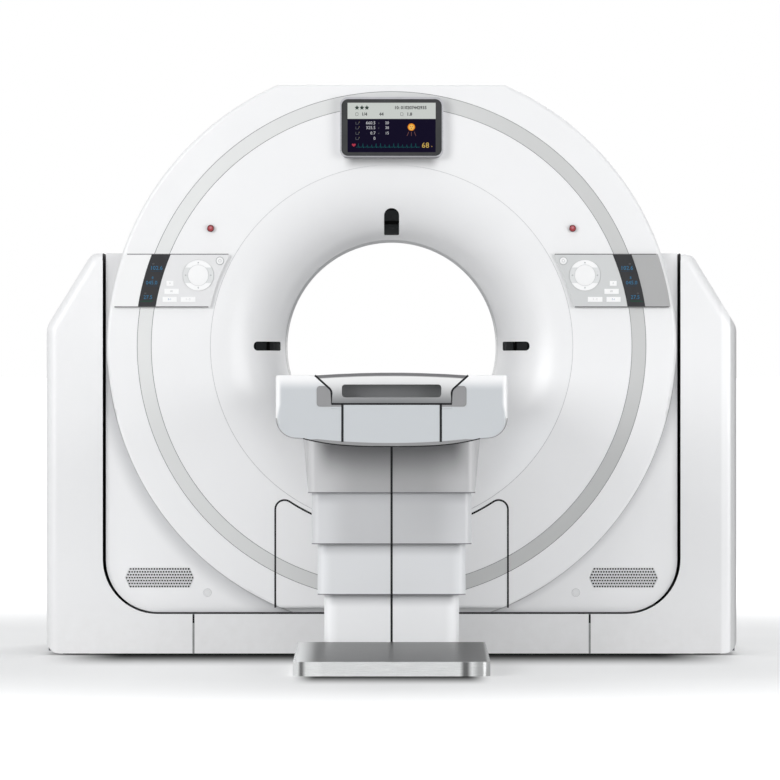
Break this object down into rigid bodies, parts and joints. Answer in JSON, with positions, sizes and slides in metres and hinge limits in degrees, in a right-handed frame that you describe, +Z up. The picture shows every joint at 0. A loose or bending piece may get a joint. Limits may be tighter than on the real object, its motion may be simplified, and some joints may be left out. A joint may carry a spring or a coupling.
{
  "type": "ct scanner",
  "caption": "Computed tomography scanner: a tilting round gantry with a flared bore in a U-shaped stand, and a patient table with a sliding cradle on a telescopic column.",
  "frame": {"origin": "on the floor, straight under the centre of the bore, at the centre of the gantry's four floor anchors", "axes": "+X to the right as seen from the table, +Y from the table into the bore, +Z up"},
  "size_m": [2.312, 3.26, 1.909],
  "materials": {
    "white_cover": "satin",
    "grey_trim": "satin",
    "black_window": "gloss",
    "clear_window": "gloss",
    "display_rim": "satin",
    "display_glass": "gloss",
    "panel_grey": "satin",
    "readout_black": "gloss",
    "key_white": "satin",
    "stop_red": "gloss",
    "frame_paint": "satin",
    "cast_metal": "matte",
    "bearing_steel": "satin",
    "motor_paint": "satin",
    "foot_rubber": "matte",
    "cast_aluminium": "satin",
    "slip_ring_metal": "satin",
    "tube_metal": "satin",
    "belt_rubber": "matte",
    "foot_metal": "satin",
    "bridge_grey": "satin",
    "column_paint": "satin",
    "inlay_grey": "satin",
    "cradle_skin": "satin"
  },
  "bodies": {
    "stand": {"base_frame": "frame_paint", "levelling_feet": "foot_rubber", "tilt_stands": "cast_metal", "tilt_bearings": "bearing_steel", "tilt_motor": "motor_paint", "front_corner_covers": "white_cover", "rear_corner_covers": "white_cover", "side_covers": "white_cover", "front_skirt": "white_cover", "rear_skirt": "white_cover", "foot_plate": "foot_metal", "cable_bridge": "bridge_grey", "column_stage_1": "column_paint", "lift_drive": "motor_paint"},
    "gantry": {"gantry_frame": "frame_paint", "tilt_pins": "bearing_steel", "front_shell": "white_cover", "rear_shell": "white_cover", "vent_grilles": "white_cover", "front_cover": "white_cover", "lower_hatch": "white_cover", "trim_ring": "grey_trim", "rear_cover": "white_cover", "front_funnel": "white_cover", "laser_windows": "black_window", "rear_funnel": "white_cover", "scan_window": "clear_window", "display_housing": "display_rim", "display_glass": "display_glass", "control_panels": "panel_grey", "panel_readouts": "readout_black", "bearing_outer_race": "bearing_steel", "brush_block": "motor_paint", "drive_motor": "motor_paint", "drive_belt": "belt_rubber"},
    "rotor": {"bearing_inner_race": "bearing_steel", "rotor_drum": "cast_aluminium", "slip_ring": "slip_ring_metal", "xray_tube": "tube_metal", "collimator": "tube_metal", "detector_arc": "tube_metal", "generator": "cast_aluminium", "heat_exchanger": "cast_aluminium"},
    "pulley": {"motor_pulley": "cast_aluminium"},
    "stage_2": {"column_stage_2": "column_paint"},
    "stage_3": {"column_stage_3": "column_paint"},
    "table": {"column_stage_4": "column_paint", "table_frame": "cast_aluminium", "table_side_covers": "white_cover", "end_inlays": "inlay_grey", "table_end_panel": "white_cover"},
    "cradle": {"cradle": "cradle_skin"},
    "left_pad": {"left_pad": "key_white"},
    "left_centre_key": {"left_centre_key": "key_white"},
    "left_round_key": {"left_round_key": "key_white"},
    "left_stop_button": {"left_stop_button": "stop_red"},
    "right_pad": {"right_pad": "key_white"},
    "right_centre_key": {"right_centre_key": "key_white"},
    "right_round_key": {"right_round_key": "key_white"},
    "right_stop_button": {"right_stop_button": "stop_red"}
  },
  "joints": [
    {"name": "gantry_tilt", "type": "hinge", "parent": "stand", "child": "gantry", "pos_m": [0, 0, 1.035], "axis": [-1, 0, 0], "range_deg": [-15, 15]},
    {"name": "rotor_spin", "type": "hinge", "parent": "gantry", "child": "rotor", "pos_m": [0, 0, 1.035], "axis": [0, 1, 0], "continuous": true},
    {"name": "pulley_spin", "type": "hinge", "parent": "gantry", "child": "pulley", "pos_m": [0.8, 0, 0.33], "axis": [0, 1, 0], "continuous": true},
    {"name": "table_lift", "type": "slide", "parent": "stand", "child": "table", "axis": [0, 0, 1], "range_m": [-0.44, 0]},
    {"name": "stage_2_lift", "type": "slide", "parent": "stand", "child": "stage_2", "axis": [0, 0, 1], "range_m": [-0.147, 0]},
    {"name": "stage_3_lift", "type": "slide", "parent": "stand", "child": "stage_3", "axis": [0, 0, 1], "range_m": [-0.294, 0]},
    {"name": "cradle_slide", "type": "slide", "parent": "table", "child": "cradle", "axis": [0, 1, 0], "range_m": [0, 1.6]},
    {"name": "left_pad_press", "type": "slide", "parent": "gantry", "child": "left_pad", "axis": [0, 1, 0], "range_m": [0, 0.0015], "stiffness_N_per_m": 1500, "springref_m": -0.001},
    {"name": "left_centre_key_press", "type": "slide", "parent": "gantry", "child": "left_centre_key", "axis": [0, 1, 0], "range_m": [0, 0.0015], "stiffness_N_per_m": 1500, "springref_m": -0.001},
    {"name": "left_round_key_press", "type": "slide", "parent": "gantry", "child": "left_round_key", "axis": [0, 1, 0], "range_m": [0, 0.0015], "stiffness_N_per_m": 1500, "springref_m": -0.001},
    {"name": "left_stop_button_press", "type": "slide", "parent": "gantry", "child": "left_stop_button", "axis": [0, 1, 0], "range_m": [0, 0.004], "stiffness_N_per_m": 2000, "springref_m": -0.002},
    {"name": "right_pad_press", "type": "slide", "parent": "gantry", "child": "right_pad", "axis": [0, 1, 0], "range_m": [0, 0.0015], "stiffness_N_per_m": 1500, "springref_m": -0.001},
    {"name": "right_centre_key_press", "type": "slide", "parent": "gantry", "child": "right_centre_key", "axis": [0, 1, 0], "range_m": [0, 0.0015], "stiffness_N_per_m": 1500, "springref_m": -0.001},
    {"name": "right_round_key_press", "type": "slide", "parent": "gantry", "child": "right_round_key", "axis": [0, 1, 0], "range_m": [0, 0.0015], "stiffness_N_per_m": 1500, "springref_m": -0.001},
    {"name": "right_stop_button_press", "type": "slide", "parent": "gantry", "child": "right_stop_button", "axis": [0, 1, 0], "range_m": [0, 0.004], "stiffness_N_per_m": 2000, "springref_m": -0.002}
  ],
  "couplings": [
    {"joint": "pulley_spin", "follows": "rotor_spin", "ratio": 13.667},
    {"joint": "stage_2_lift", "follows": "table_lift", "ratio": 0.33333},
    {"joint": "stage_3_lift", "follows": "table_lift", "ratio": 0.66667}
  ]
}
